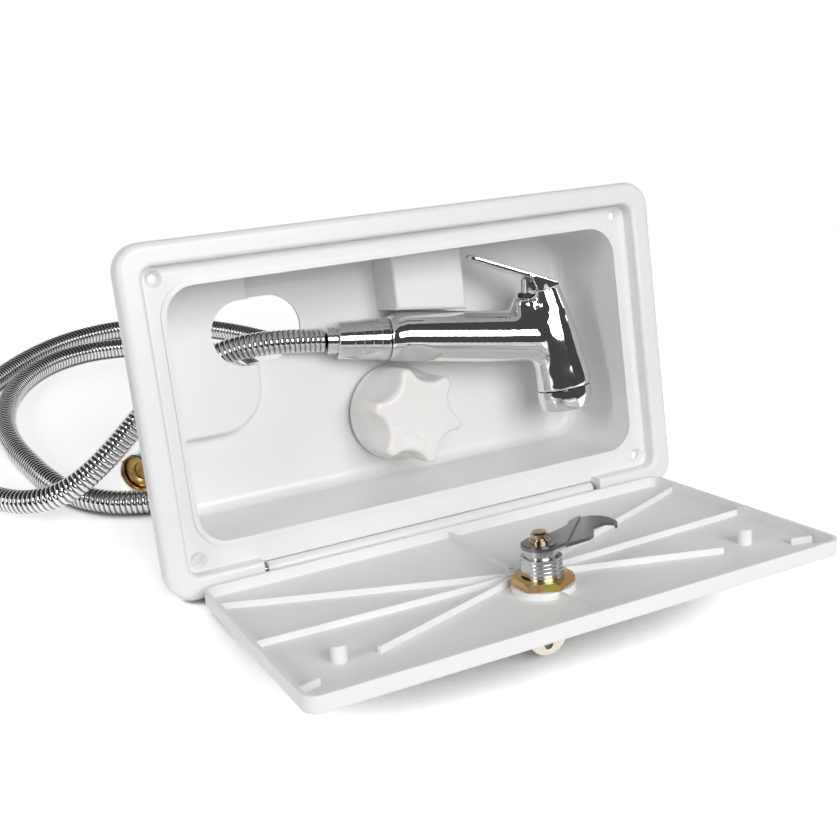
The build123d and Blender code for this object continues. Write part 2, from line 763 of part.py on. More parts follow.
def handle_dimple():
    handle_w, handle_r = handle_sections[2][1:]
    reach = handle_r - dimple_depth + dimple_radius
    angle = math.radians(dimple_deg)
    centre = Pos(dimple_u, -reach * math.cos(angle), handle_w - reach * math.sin(angle))
    return centre * Rot(dimple_deg, 0, 0) * Cylinder(dimple_radius, 60)


def make_hose_nut():
    slope = (nut_large_r - nut_small_r) / -nut_end_u
    front_u = -0.3

    def skin(u):
        return nut_small_r + slope * (u - nut_end_u)

    profile = [(nut_end_u, ferrule_r + 0.15), (nut_end_u, skin(nut_end_u) - 0.6), (nut_end_u + 0.6, skin(nut_end_u))]
    for u0, u1 in nut_band_u:
        profile += [(u0, skin(u0)), (u0 + 0.3, skin(u0) - nut_band_depth), (u1 - 0.3, skin(u1) - nut_band_depth), (u1, skin(u1))]
    thread_u = -inlet_length - washer_height - ferrule_flange_height - 0.2
    profile += [
        (front_u - 1.0, skin(front_u)), (front_u, skin(front_u) - 0.6), (front_u, inlet_r + 0.1),
        (thread_u, inlet_r + 0.1), (thread_u, ferrule_r + 0.15),
    ]
    return place_sprayer(u_turned(profile))


def make_hose_washer():
    u = -inlet_length
    washer = u_bar(inlet_r - 0.3, u - washer_height, u) - u_bar(hose_bore_r, u - washer_height - 1, u + 1)
    return place_sprayer(washer)


def make_hose_ferrule():
    u = -inlet_length - washer_height
    ferrule = u_bar(ferrule_flange_r, u - ferrule_flange_height, u)
    ferrule += u_bar(ferrule_r, ferrule_end_u, u)
    for i in range(2):
        ring_u = ferrule_end_u + 1.4 + 2.6 * i
        ferrule += u_bar(ferrule_ring_r, ring_u - 0.8, ring_u + 0.8)
    return place_sprayer(ferrule - u_bar(hose_bore_r, ferrule_end_u - 1, u + 1))


def make_spray_ring():
    u, w, tilt, half_u, half_v = head_sections[0]
    gap = 0.2
    top = tilted(u, w, tilt)
    seam = top.origin - top.z_dir * gap
    upper = Plane(origin=seam, x_dir=top.x_dir, z_dir=top.z_dir)
    lower = tilted(face_centre[0], face_centre[1], face_tilt_deg)
    middle_u = (seam.X + 2 * face_centre[0]) / 3
    middle_w = (seam.Z + 2 * face_centre[1]) / 3
    middle = tilted(middle_u, middle_w, (tilt + 2 * face_tilt_deg) / 3)
    sections = [
        upper * head_outline(half_u, half_v), middle * head_outline(half_u - 0.6, half_v - 0.5),
        lower * head_outline(*face_half),
    ]
    ring = loft(sections)
    ring = fillet(ring.faces().sort_by(Axis.Z)[0].outer_wire().edges(), ring_edge_round)
    plate_room = Pos(0, 0, 20) * extrude(head_outline(plate_half[0] + 0.05, plate_half[1] + 0.05), amount=-21)
    ring -= lower.location * plate_room
    return place_sprayer(ring)


def make_spray_plate():
    lower = tilted(face_centre[0], face_centre[1], face_tilt_deg)
    plate = extrude(head_outline(*plate_half), amount=plate_thickness)
    for count, radius in jet_rings:
        for i in range(count):
            angle = 2 * math.pi * i / count
            plate -= Pos(radius * math.cos(angle), 0.88 * radius * math.sin(angle), 0) * Cylinder(jet_r, 10)
    return place_sprayer(lower.location * Pos(0, 0, plate_inset) * plate)


def make_lever():
    slope = (lever_end[1] - lever_tip[1]) / (lever_end[0] - lever_tip[0])
    edge_u = lever_tip[0] - 2.4
    plate = (
        (edge_u, lever_under_w(edge_u) + 1.2), (edge_u + 1.6, lever_tip[1] + slope * -0.8), lever_end,
        (lever_end[0], lever_under_w(lever_end[0])), (edge_u + 1.0, lever_under_w(edge_u + 1.0)),
    )
    plan = Polygon(
        (lever_tip[0] + 3, -lever_half_tip), (lever_cheek_low[0][0] + 2, -lever_half), (lever_end[0] + 5, -lever_half),
        (lever_end[0] + 5, lever_half), (lever_cheek_low[0][0] + 2, lever_half), (lever_tip[0] + 3, lever_half_tip),
        align=None,
    )
    plan += Pos(lever_tip[0] + 3, 0) * Ellipse(6.0, lever_half_tip)
    lever = side_cut(plate, 20) & extrude(Pos(0, 0, 20) * plan, amount=40)
    lever -= w_bar(lever_hole_u, lever_hole_r, 30, 60)
    cheek_left = lever_cheek_low[0][0]
    cheek = (*lever_cheek_low, (lever_end[0] - 0.2, lever_end[1] - 0.8), (cheek_left, lever_under_w(cheek_left) + 1.5))
    cheeks = side_cut(cheek, lever_half) - side_cut(((60, 0), (130, 0), (130, 60), (60, 60)), lever_half - lever_cheek)
    lever += cheeks
    lever -= Pos(lever_pivot[0], 0, lever_pivot[1]) * Rot(90, 0, 0) * Cylinder(lever_pin_r + 0.02, 40)
    return place_sprayer(lever)


def make_lever_pin():
    return place_sprayer(Pos(lever_pivot[0], 0, lever_pivot[1]) * Rot(90, 0, 0) * Cylinder(lever_pin_r, 2 * lever_half))


def make_plunger():
    top = lever_under_w(plunger_u + plunger_r) - plunger_gap
    stem = w_bar(plunger_u, plunger_r, plunger_low_w, top)
    stem = fillet(stem.faces().sort_by(Axis.Z)[-1].edges(), 0.8)
    return place_sprayer(stem + w_bar(plunger_u, shoulder_r, *shoulder_w))


def make_plunger_seal():
    low = collar_profile[-1][1]
    seal = w_bar(plunger_u, seal_r, low - 1.6, low + seal_height)
    seal = fillet(seal.faces().sort_by(Axis.Z)[-1].edges(), 0.7)
    return place_sprayer(seal - w_bar(plunger_u, plunger_r + running_gap, low - 5, low + seal_height + 1))


def make_plunger_spring():
    low = plunger_bore_low_w + spring_wire_r + 0.15
    high = shoulder_w[0] - spring_wire_r - 0.3
    pitch = (high - low) / spring_turns
    coil = Helix(pitch, high - low, spring_r)
    wire = sweep(Plane(origin=coil @ 0, z_dir=coil % 0) * Circle(spring_wire_r), path=coil, is_frenet=True)
    return place_sprayer(Pos(plunger_u, 0, low) * wire)


# Hose

def hose_path(points):
    radii = []
    turns = []
    points = [Vector(*p) for p in points]
    for a, b, c in zip(points, points[1:], points[2:]):
        run_in, run_out = b - a, c - b
        turn = run_in.get_angle(run_out)
        radii.append(0.45 * min(run_in.length, run_out.length) / math.tan(math.radians(turn / 2)))
        turns.append(turn)
    return FilletPolyline(*points, radius=radii), radii, turns


def ribbed_tube(path, pitch):
    length = path.length
    count = round(length / pitch)
    step = length / count
    sections = []
    for i in range(count):
        for share, radius in ((0.0, hose_root_r), (0.22, hose_r), (0.78, hose_r), (0.999, hose_root_r)):
            sections.append(hose_circle(path, min((i + share) * step, length), radius))
    return loft(sections, ruled=True) - hose_bore(path)


def hose_circle(path, distance, radius):
    point = path.position_at(distance, position_mode=PositionMode.LENGTH)
    along = path.tangent_at(distance, position_mode=PositionMode.LENGTH)
    side = along.cross(Vector(0, 0, 1)).normalized()
    return Plane(origin=point, x_dir=side, z_dir=along) * Circle(radius)


def hose_bore(path):
    return sweep(hose_circle(path, 0, hose_bore_r), path=path)


def hose_join():
    return tuple((Vector(*hose_tray_points[-1]) + Vector(*hose_air_points[0])) / 2)


def tray_route():
    along, _ = sprayer_axes()
    start = Vector(*sprayer_seam) + along * ferrule_end_u
    return [tuple(start), tuple(start - along * hose_first_run), *hose_tray_points, hose_join()]


def loops_route():
    lying = [(x, y, lying_level + lying_slope * y) for x, y in hose_floor_points]
    return [hose_join(), *hose_air_points, *lying, end_nut_from, end_hose_face()]


def end_axis():
    return (Vector(*end_nut_mouth) - Vector(*end_nut_from)).normalized()


def end_hose_face():
    return tuple(Vector(*end_nut_mouth) - end_axis() * (end_nut_length + end_ferrule_length))


def end_bar(radius, deep, shallow):
    plane = Plane(origin=Vector(*end_nut_mouth) - end_axis() * deep, z_dir=end_axis())
    return extrude(plane * Circle(radius), amount=deep - shallow)


def make_end_ferrule():
    back = end_nut_length + end_ferrule_length
    seat = end_nut_thread + washer_height
    ferrule = end_bar(end_ferrule_r, back, seat)
    ferrule += end_bar(ferrule_flange_r, seat + ferrule_flange_height, seat)
    return ferrule - end_bar(hose_bore_r, back + 1, 0)


def make_end_nut():
    nut = chamfer(end_bar(end_nut_r, end_nut_length, 0).edges().filter_by(GeomType.CIRCLE), 0.8)
    nut -= end_bar(end_nut_bore_r, end_nut_thread, -1)
    nut -= end_bar(ferrule_flange_r + 0.1, end_nut_thread + washer_height + ferrule_flange_height + 0.2, 0)
    return nut - end_bar(end_ferrule_r + 0.1, end_nut_length + 1, 0)


def make_end_washer():
    back = end_nut_thread + washer_height
    return end_bar(ferrule_flange_r, back, end_nut_thread) - end_bar(hose_bore_r, back + 1, 0)


def make_hose_tray_run():
    path, _, _ = hose_path(tray_route())
    return ribbed_tube(path, tray_pitch)


def make_hose_loops():
    path, _, _ = hose_path(loops_route())
    return ribbed_tube(path, loops_pitch)


def least_gap(path):
    count = 700
    apart = 6 * hose_r
    step = path.length / count
    spots = [path.position_at(i * step, position_mode=PositionMode.LENGTH) for i in range(count + 1)]
    skip = int(apart / step) + 1
    return min((a - b).length for i, a in enumerate(spots) for b in spots[i + skip:]) - 2 * hose_r


pieces = {
    "box_shell": make_box_shell,
    "hinge_pins": make_hinge_pins,
    "lid_shell": make_lid_shell,
    "lock_body": make_lock_body,
    "lock_nut": make_lock_nut,
    "lock_plug": make_lock_plug,
    "lock_key": make_lock_key,
    "lock_cam": make_lock_cam,
    "cam_washer": make_cam_washer,
    "cam_nut": make_cam_nut,
    "knob": make_knob,
    "valve_spindle": make_valve_spindle,
    "valve_cartridge": make_valve_cartridge,
    "valve_nut": make_valve_nut,
    "valve_gasket": make_valve_gasket,
    "valve_body": make_valve_body,
    "sprayer_body": make_sprayer_body,
    "spray_ring": make_spray_ring,
    "spray_plate": make_spray_plate,
    "lever": make_lever,
    "lever_pin": make_lever_pin,
    "plunger": make_plunger,
    "plunger_seal": make_plunger_seal,
    "plunger_spring": make_plunger_spring,
    "hose_nut": make_hose_nut,
    "hose_washer": make_hose_washer,
    "hose_ferrule": make_hose_ferrule,
    "hose_tray_run": make_hose_tray_run,
    "hose_loops": make_hose_loops,
    "end_ferrule": make_end_ferrule,
    "end_nut": make_end_nut,
    "end_washer": make_end_washer,
}

os.makedirs("parts", exist_ok=True)
for name, make in pieces.items():
    shape = make()
    if isinstance(shape, list):
        shape = Compound(children=shape)
    export_step(shape, f"parts/{name}.step")

for title, route in (("tray run", tray_route()), ("loops", loops_route())):
    path, radii, turns = hose_path(route)
    print(title, "length", round(path.length), "least radius", round(min(radii)), "largest turn", round(max(turns)))
    print("radii", [round(r) for r in radii])
    print("least gap to itself", round(least_gap(path), 1) if path.length > 300 else "straight enough")
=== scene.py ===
import math

import bmesh
import bpy
from mathutils import Matrix, Vector


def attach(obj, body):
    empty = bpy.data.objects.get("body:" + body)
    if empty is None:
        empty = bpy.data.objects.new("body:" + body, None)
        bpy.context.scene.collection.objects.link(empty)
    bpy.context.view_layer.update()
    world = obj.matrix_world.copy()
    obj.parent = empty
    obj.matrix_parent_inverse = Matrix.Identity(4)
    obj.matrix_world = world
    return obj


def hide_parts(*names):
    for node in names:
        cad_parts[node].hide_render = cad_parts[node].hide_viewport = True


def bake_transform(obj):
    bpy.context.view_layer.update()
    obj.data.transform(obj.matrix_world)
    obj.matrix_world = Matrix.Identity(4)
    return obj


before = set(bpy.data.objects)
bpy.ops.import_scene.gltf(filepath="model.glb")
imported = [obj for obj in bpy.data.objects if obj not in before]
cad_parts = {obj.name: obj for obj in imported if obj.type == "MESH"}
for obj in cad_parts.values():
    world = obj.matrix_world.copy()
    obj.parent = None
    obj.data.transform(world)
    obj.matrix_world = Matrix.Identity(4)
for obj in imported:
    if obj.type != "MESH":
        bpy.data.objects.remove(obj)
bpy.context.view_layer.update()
bpy.context.scene.view_settings.view_transform = "Standard"

# Camera at the photograph's place: low, in front and to the left of the open box,
# looking a little down at the tray, with the lid's front corner nearest.
camera_data = bpy.data.cameras.new("camera")
camera_data.lens = 50.41
camera_data.sensor_width = 36.0
camera_data.clip_end = 30.0
camera = bpy.data.objects.new("camera", camera_data)
right = Vector((0.89425, -0.43003, -0.12409))
down = Vector((-0.18392, -0.10031, -0.97781))
ahead = Vector((0.40804, 0.89723, -0.16879))
camera_place = Matrix.Translation((-0.27027, -0.59015, 0.08649))
camera.matrix_world = camera_place @ Matrix((right, -down, -ahead)).transposed().to_4x4()
bpy.context.collection.objects.link(camera)
bpy.context.scene.camera = camera


# Shower hose: a strip-wound, chromed steel hose, 14 mm across, whose ribs are one long spiral.
# It leaves the sprayer's ferrule, goes out through the hole in the tray and lies in two loose turns behind the box.
# The first points hang in the air, the points after them lie on the sloping floor and give x and y alone.
hose_route = [
    (-0.0336, 0.0456, 0.0237), (-0.0521, 0.0493, 0.0261), (-0.0700, 0.0543, 0.0272), (-0.0850, 0.0630, 0.0260),
    (-0.1000, 0.0720, 0.0205), (-0.1170, 0.0800, 0.0105), (-0.1350, 0.0855, -0.0040), (-0.1640, 0.0840, -0.0285),
    (-0.1875, 0.0880, -0.0425), (-0.2075, 0.1020, -0.0450), (-0.2215, 0.1230, -0.0420), (-0.2330, 0.1440, -0.0395),
]
hose_lying = [
    (-0.2430, 0.165), (-0.249, 0.190), (-0.247, 0.216), (-0.239, 0.243), (-0.227, 0.270), (-0.210, 0.296),
    (-0.190, 0.322), (-0.169, 0.346), (-0.145, 0.367), (-0.118, 0.381), (-0.089, 0.387), (-0.060, 0.383),
    (-0.033, 0.370), (-0.009, 0.349), (0.011, 0.322), (0.027, 0.291), (0.036, 0.258), (0.037, 0.225),
    (0.028, 0.193), (0.011, 0.164), (-0.013, 0.140), (-0.042, 0.120), (-0.073, 0.104), (-0.102, 0.0935),
    (-0.128, 0.0915), (-0.151, 0.0965), (-0.169, 0.1095), (-0.181, 0.128), (-0.188, 0.149), (-0.192, 0.168),
    (-0.197, 0.194), (-0.199, 0.222), (-0.196, 0.251), (-0.189, 0.278), (-0.178, 0.303), (-0.162, 0.325),
    (-0.141, 0.341), (-0.117, 0.348), (-0.092, 0.346), (-0.069, 0.338), (-0.048, 0.324), (-0.031, 0.305),
    (-0.018, 0.282), (-0.013, 0.256), (-0.016, 0.230), (-0.028, 0.207), (-0.045, 0.190), (-0.067, 0.176),
]
floor_slope = 0.2886
lying_level = -0.0843
hose_route += [(x, y, lying_level + floor_slope * y) for x, y in hose_lying]
hose_route += [(-0.1000, 0.1580, -0.0387), (-0.1191, 0.1394, -0.0415)]

route_curve = bpy.data.curves.new("hose_route", "CURVE")
route_curve.dimensions = "3D"
route_spline = route_curve.splines.new("NURBS")
route_spline.points.add(len(hose_route) - 1)
for knot, place in zip(route_spline.points, hose_route):
    knot.co = (*place, 1.0)
route_spline.order_u = 3
route_spline.use_endpoint_u = True
route_spline.resolution_u = 12
route_object = bpy.data.objects.new("hose_route", route_curve)
hose_line = [v.co.copy() for v in bpy.data.meshes.new_from_object(route_object).vertices]
bpy.data.objects.remove(route_object)


class Line:
    """Places along a hose's centre line, with a frame that does not twist."""

    def __init__(self, points):
        self.points = points
        self.reach = [0.0]
        for a, b in zip(points, points[1:]):
            self.reach.append(self.reach[-1] + (b - a).length)
        self.along = [(b - a).normalized() for a, b in zip(points, points[1:])]
        self.along.append(self.along[-1])
        side = self.along[0].cross(Vector((0, 0, 1))).normalized()
        self.sides = [side]
        for before, after in zip(self.along, self.along[1:]):
            side = before.rotation_difference(after) @ side
            self.sides.append(side)
        self.step = 0

    def at(self, distance):
        while self.step < len(self.points) - 2 and self.reach[self.step + 1] < distance:
            self.step += 1
        while self.step > 0 and self.reach[self.step] > distance:
            self.step -= 1
        i = self.step
        share = (distance - self.reach[i]) / (self.reach[i + 1] - self.reach[i])
        along = self.along[i].lerp(self.along[i + 1], share).normalized()
        side = self.sides[i].lerp(self.sides[i + 1], share)
        side = (side - along * side.dot(along)).normalized()
        return self.points[i].lerp(self.points[i + 1], share), side, along.cross(side)


line = Line(hose_line)
rib_pitch = 0.0029
# One rib: its share of the pitch, its radius and how deep in the groove it lies, from 0 on the crest to 1.
rib_profile = (
    (0.0, 0.00635, 1.0), (0.12, 0.00685, 0.45), (0.36, 0.0070, 0.0), (0.66, 0.0070, 0.0), (0.90, 0.0067, 0.25),
)
around = 20
turns = int(line.reach[-1] / rib_pitch) - 1
rib_rings = []
for k in range(turns * around + 1):
    angle = 2 * math.pi * k / around
    for share, radius, depth in rib_profile:
        place, side, other = line.at(min((k / around + share) * rib_pitch, line.reach[-1]))
        rib_rings.append(place + radius * (math.cos(angle) * side + math.sin(angle) * other))
per_ring = len(rib_profile)
rib_faces = []
for k in range(turns * around):
    for m in range(per_ring):
        a, b = k * per_ring + m, (k + 1) * per_ring + m
        if m < per_ring - 1:
            rib_faces.append((a, b, b + 1, a + 1))
        elif k + around + 1 <= turns * around:
            rib_faces.append((a, b, (k + 1 + around) * per_ring, (k + around) * per_ring))
hose_mesh = bpy.data.meshes.new("hose")
hose_mesh.from_pydata(rib_rings, [], rib_faces)
# The depth in the groove is kept on the mesh, and the hose's finish paints shade into the grooves from it.
groove = hose_mesh.attributes.new("groove", "FLOAT", "POINT")
groove.data.foreach_set("value", [depth for share, radius, depth in rib_profile] * (turns * around + 1))
shape = bmesh.new()
shape.from_mesh(hose_mesh)
bmesh.ops.delete(shape, geom=[v for v in shape.verts if not v.link_faces], context="VERTS")
bmesh.ops.holes_fill(shape, edges=[e for e in shape.edges if e.is_boundary], sides=0)
bmesh.ops.recalc_face_normals(shape, faces=shape.faces)
shape.to_mesh(hose_mesh)
shape.free()
hose = bpy.data.objects.new("hose", hose_mesh)
bpy.context.collection.objects.link(hose)
for face in hose_mesh.polygons:
    face.use_smooth = True

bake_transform(hose)
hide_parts("hose_tray_run", "hose_loops")


class Amount:
    """A value that changes over a surface. Arithmetic on it adds Math nodes to its finish."""

    def __init__(self, finish, socket):
        self.finish = finish
        self.socket = socket

    def math(self, operation, first, second=0.0, clamp=False):
        return self.finish.node("ShaderNodeMath", {"operation": operation, "use_clamp": clamp}, {0: first, 1: second})

    def __add__(self, other):
        return self.math("ADD", self, other)

    def __sub__(self, other):
        return self.math("SUBTRACT", self, other)

    def __rsub__(self, other):
        return self.math("SUBTRACT", other, self)

    def __mul__(self, other):
        return self.math("MULTIPLY", self, other)

    def __pow__(self, other):
        return self.math("POWER", self, other)

    def rise(self, low, high):
        return self.math("DIVIDE", self - low, high - low, clamp=True)

    __radd__ = __add__


class Nodes:
    """A node tree and the one way in which nodes are added to it."""

    def __init__(self, tree):
        self.tree = tree

    def node(self, kind, settings=None, sockets=None, output=0):
        node = self.tree.nodes.new(kind)
        for setting, value in (settings or {}).items():
            if setting == "stops":
                while len(node.color_ramp.elements) < len(value):
                    node.color_ramp.elements.new(0.5)
                for element, (position, colour) in zip(node.color_ramp.elements, value):
                    element.position = position
                    element.color = colour
            else:
                setattr(node, setting, value)
        for socket, value in (sockets or {}).items():
            self.put(node.inputs[socket], value)
        return Amount(self, node.outputs[output])

    def put(self, socket, value):
        if isinstance(value, Amount):
            self.tree.links.new(value.socket, socket)
        else:
            socket.default_value = value

    def between(self, share, low, high):
        return low + share * (high - low)


class Finish(Nodes):
    """One surface finish: a material, its nodes and the shader that they feed."""

    def __init__(self, name, **sockets):
        self.material = bpy.data.materials.new(name)
        self.material.use_nodes = True
        super().__init__(self.material.node_tree)
        self.shader = self.tree.nodes["Principled BSDF"]
        for socket, value in sockets.items():
            self.shader.inputs[socket.replace("_", " ")].default_value = value

    def feed(self, socket, value):
        self.put(self.shader.inputs[socket], value)

    def place(self):
        return self.node("ShaderNodeTexCoord", output="Object")

    def noise(self, scale, detail=2.0, where=None):
        sockets = {"Vector": where or self.place(), "Scale": scale, "Detail": detail}
        return self.node("ShaderNodeTexNoise", None, sockets, "Fac")

    def ramp(self, value, *stops):
        return self.node("ShaderNodeValToRGB", {"stops": stops}, {"Fac": value}, "Color")

    def blend(self, share, first, second):
        return self.node("ShaderNodeMix", {"data_type": "RGBA"}, {0: share, 6: first, 7: second}, 2)

    def bump(self, height, strength, distance=0.001):
        sockets = {"Height": height, "Strength": strength, "Distance": distance}
        self.feed("Normal", self.node("ShaderNodeBump", None, sockets))

    def on(self, *things):
        for thing in things:
            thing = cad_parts.get(thing, thing)
            if thing.material_slots:
                for slot in thing.material_slots:
                    slot.material = self.material
            else:
                thing.data.materials.append(self.material)


def grey(value, tint=(1.0, 1.0, 1.0)):
    return tuple(value * t for t in tint) + (1.0,)


hose_steel = Finish("hose_steel", Metallic=1.0)
wear = hose_steel.noise(60.0, 3.0)
# The grooves between the ribs get painted shade, darker the deeper they lie, mixed with random wear.
groove = hose_steel.node("ShaderNodeAttribute", {"attribute_name": "groove"}, output="Fac")
groove_shade_and_wear = groove * 0.75 + wear * 0.25
painted_groove_shade_stops = ((0.05, grey(0.82)), (0.2, grey(0.72)), (0.5, grey(0.32)), (0.8, grey(0.12)))
hose_steel.feed("Base Color", hose_steel.ramp(groove_shade_and_wear, *painted_groove_shade_stops))
hose_steel.feed("Roughness", hose_steel.between(wear, 0.07, 0.16))
hose_steel.on(hose)

# Hose fittings: a turned and chromed conical nut and a crimped ferrule at the sprayer,
# and on the free end a plain nut, chromed outside and bare brass inside, with its insert and washer.
fitting_chrome = Finish("fitting_chrome", Metallic=1.0)
wear = fitting_chrome.noise(90.0, 3.0)
fitting_chrome.feed("Base Color", fitting_chrome.ramp(wear, (0.3, grey(0.76)), (0.7, grey(0.84))))
fitting_chrome.feed("Roughness", fitting_chrome.between(wear, 0.05, 0.12))
fitting_chrome.on("hose_nut", "hose_ferrule", "end_ferrule")
plated_brass = Finish("plated_brass", Metallic=1.0)
tarnish = plated_brass.noise(150.0, 3.0)
mouth = (-0.139, 0.120, -0.0445)
mouth_axis = (-0.7122, -0.6939, -0.1059)
reach = plated_brass.node("ShaderNodeVectorMath", {"operation": "SUBTRACT"}, {0: plated_brass.place(), 1: mouth})
deep = plated_brass.node("ShaderNodeVectorMath", {"operation": "DOT_PRODUCT"}, {0: reach, 1: mouth_axis}, "Value")
from_mouth = plated_brass.node("ShaderNodeVectorMath", {"operation": "LENGTH"}, {0: reach}, "Value")
bore_r = 0.0105
plating_r = 0.0108
plated = (from_mouth ** 2 - deep ** 2).rise(bore_r ** 2, plating_r ** 2)
bare = plated_brass.ramp(tarnish, (0.3, (0.50, 0.31, 0.10, 1)), (0.7, (0.66, 0.44, 0.18, 1)))
plated_brass.feed("Base Color", plated_brass.blend(plated, bare, grey(0.8)))
plated_brass.feed("Roughness", 0.3 - plated * 0.22)
plated_brass.on("end_nut")

# The insert is a turned brass disc with a stepped recess.
bpy.ops.object.select_all(action="DESELECT")
bpy.ops.mesh.primitive_cylinder_add(vertices=48, radius=0.0099, depth=0.0034)
insert = bpy.context.object
insert.name = "end_insert"
bpy.ops.object.mode_set(mode="EDIT")
bpy.ops.mesh.select_all(action="DESELECT")
shape = bmesh.from_edit_mesh(insert.data)
for face in shape.faces:
    face.select_set(face.normal.z > 0.9)
bpy.ops.mesh.inset(thickness=0.0014)
bpy.ops.mesh.inset(thickness=0.0032, depth=-0.0010)
bpy.ops.mesh.inset(thickness=0.0002, depth=-0.0018)
bpy.ops.object.mode_set(mode="OBJECT")
turned_edge = insert.modifiers.new("turned_edge", "BEVEL")
turned_edge.width = 0.0002
turned_edge.segments = 2
bpy.ops.object.modifier_apply(modifier="turned_edge")
bpy.ops.object.shade_smooth_by_angle(angle=math.radians(35))
insert_depth = 0.0062
insert.location = Vector(mouth) - insert_depth * Vector(mouth_axis)
insert.rotation_euler = Vector(mouth_axis).to_track_quat("Z", "Y").to_euler()
bpy.ops.object.transform_apply(location=True, rotation=True, scale=True)
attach(insert, "box")
bare_brass = Finish("bare_brass", Metallic=1.0)
tarnish = bare_brass.noise(220.0, 3.0)
bare_brass.feed("Base Color", bare_brass.ramp(tarnish, (0.3, (0.46, 0.30, 0.10, 1)), (0.7, (0.70, 0.49, 0.20, 1))))
bare_brass.feed("Roughness", bare_brass.between(tarnish, 0.25, 0.42))
bare_brass.on(insert)
rubber = Finish("rubber", Roughness=0.7)
speckle = rubber.noise(900.0)
rubber.feed("Base Color", rubber.ramp(speckle, (0.35, grey(0.02)), (0.65, grey(0.045))))
rubber.bump(speckle, 0.2, 0.0003)
rubber.on("hose_washer", "end_washer", "valve_gasket", "plunger_seal")

# Box: flange, tray and its raised areas are one moulding in white, lightly glossy plastic
# with the faint unevenness of moulded ABS.
white_plastic = Finish("white_plastic", IOR=1.5)
flow = white_plastic.noise(14.0, 3.0)
grain = white_plastic.noise(1600.0, 2.0)
white_stops = ((0.3, grey(0.83, (1.0, 1.0, 0.99))), (0.7, grey(0.85, (1.0, 1.0, 0.995))))
white_plastic.feed("Base Color", white_plastic.ramp(flow, *white_stops))
white_plastic.feed("Roughness", white_plastic.between(flow, 0.30, 0.38))
white_plastic.bump(grain, 0.06, 0.0002)
white_plastic.on("box_shell", "lid_shell")
pin_steel = Finish("pin_steel", Metallic=1.0)
drawn = pin_steel.noise(400.0)
pin_steel.feed("Base Color", pin_steel.ramp(drawn, (0.3, grey(0.5)), (0.7, grey(0.6))))
pin_steel.feed("Roughness", pin_steel.between(drawn, 0.25, 0.4))
pin_steel.on("hinge_pins", "lever_pin", "plunger", "plunger_spring")

# Lock: a chromed barrel through the lid, held by a yellow zinc nut, with a nickel cam,
# a washer and a small brass nut on its stud, and the key in its front.
lock_chrome = Finish("lock_chrome", Metallic=1.0)
wear = lock_chrome.noise(120.0, 3.0)
lock_chrome.feed("Base Color", lock_chrome.ramp(wear, (0.3, grey(0.60)), (0.7, grey(0.68))))
lock_chrome.feed("Roughness", lock_chrome.between(wear, 0.2, 0.3))
lock_chrome.on("lock_body")
zinc = Finish("zinc_gold", Metallic=1.0)
cloud = zinc.noise(110.0, 3.0)
zinc_stops = (
    (0.30, (0.42, 0.46, 0.12, 1)), (0.45, (0.62, 0.48, 0.14, 1)),
    (0.58, (0.62, 0.33, 0.12, 1)), (0.72, (0.52, 0.42, 0.22, 1)),
)
zinc.feed("Base Color", zinc.ramp(cloud, *zinc_stops))
zinc.feed("Roughness", zinc.between(cloud, 0.22, 0.4))
zinc.on("lock_nut")
cam_steel = Finish("cam_steel", Metallic=1.0)
rolled = cam_steel.noise(260.0, 3.0)
cam_steel.feed("Base Color", cam_steel.ramp(rolled, (0.3, grey(0.24)), (0.7, grey(0.30))))
cam_steel.feed("Roughness", cam_steel.between(rolled, 0.26, 0.32))
cam_steel.on("lock_cam", "cam_washer")
key_nickel = Finish("key_nickel", Metallic=1.0)
worn = key_nickel.noise(200.0, 3.0)
key_nickel.feed("Base Color", key_nickel.ramp(worn, (0.3, (0.70, 0.64, 0.55, 1)), (0.7, (0.80, 0.75, 0.66, 1))))
key_nickel.feed("Roughness", key_nickel.between(worn, 0.2, 0.35))
key_nickel.on("lock_key")
brass = Finish("brass", Metallic=1.0)
tarnish = brass.noise(150.0, 3.0)
brass.feed("Base Color", brass.ramp(tarnish, (0.3, (0.60, 0.42, 0.17, 1)), (0.7, (0.74, 0.55, 0.26, 1))))
brass.feed("Roughness", brass.between(tarnish, 0.18, 0.34))
brass.on("valve_spindle", "valve_cartridge", "valve_nut", "valve_body")

bronze = Finish("bronze", Metallic=1.0)
tarnish = bronze.noise(300.0, 3.0)
bronze.feed("Base Color", bronze.ramp(tarnish, (0.3, (0.40, 0.29, 0.18, 1)), (0.7, (0.62, 0.52, 0.40, 1))))
bronze.feed("Roughness", bronze.between(tarnish, 0.14, 0.26))
bronze.on("lock_plug", "cam_nut")

# Knob: six soft lobes moulded in slightly translucent white plastic,
# pressed on the valve's spindle.
knob_plastic = Finish("knob_plastic", IOR=1.5, Subsurface_Weight=0.35, Subsurface_Scale=0.01)
cloud = knob_plastic.noise(30.0, 3.0)
warm = (1.0, 0.995, 0.985)
knob_plastic.feed("Base Color", knob_plastic.ramp(cloud, (0.3, grey(0.82, warm)), (0.7, grey(0.86, warm))))
knob_plastic.feed("Roughness", knob_plastic.between(cloud, 0.22, 0.3))


def even_skin(node, name, voxel):
    """A copy of a CAD node, merged and given small even faces, so that its edges can be softened."""
    piece = bpy.data.objects.new(name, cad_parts[node].data.copy())
    bpy.context.collection.objects.link(piece)
    bpy.ops.object.select_all(action="DESELECT")
    bpy.context.view_layer.objects.active = piece
    piece.select_set(True)
    bpy.ops.object.mode_set(mode="EDIT")
    bpy.ops.mesh.select_all(action="SELECT")
    bpy.ops.mesh.remove_doubles(threshold=0.00002)
    bpy.ops.object.mode_set(mode="OBJECT")
    skin = piece.modifiers.new("skin", "REMESH")
    skin.voxel_size = voxel
    skin.use_smooth_shade = True
    bpy.ops.object.modifier_apply(modifier="skin")
    return piece


def soften(piece, times, group=""):
    rounding = piece.modifiers.new("rounding", "SMOOTH")
    rounding.vertex_group = group
    rounding.iterations = times
    bpy.ops.object.modifier_apply(modifier="rounding")


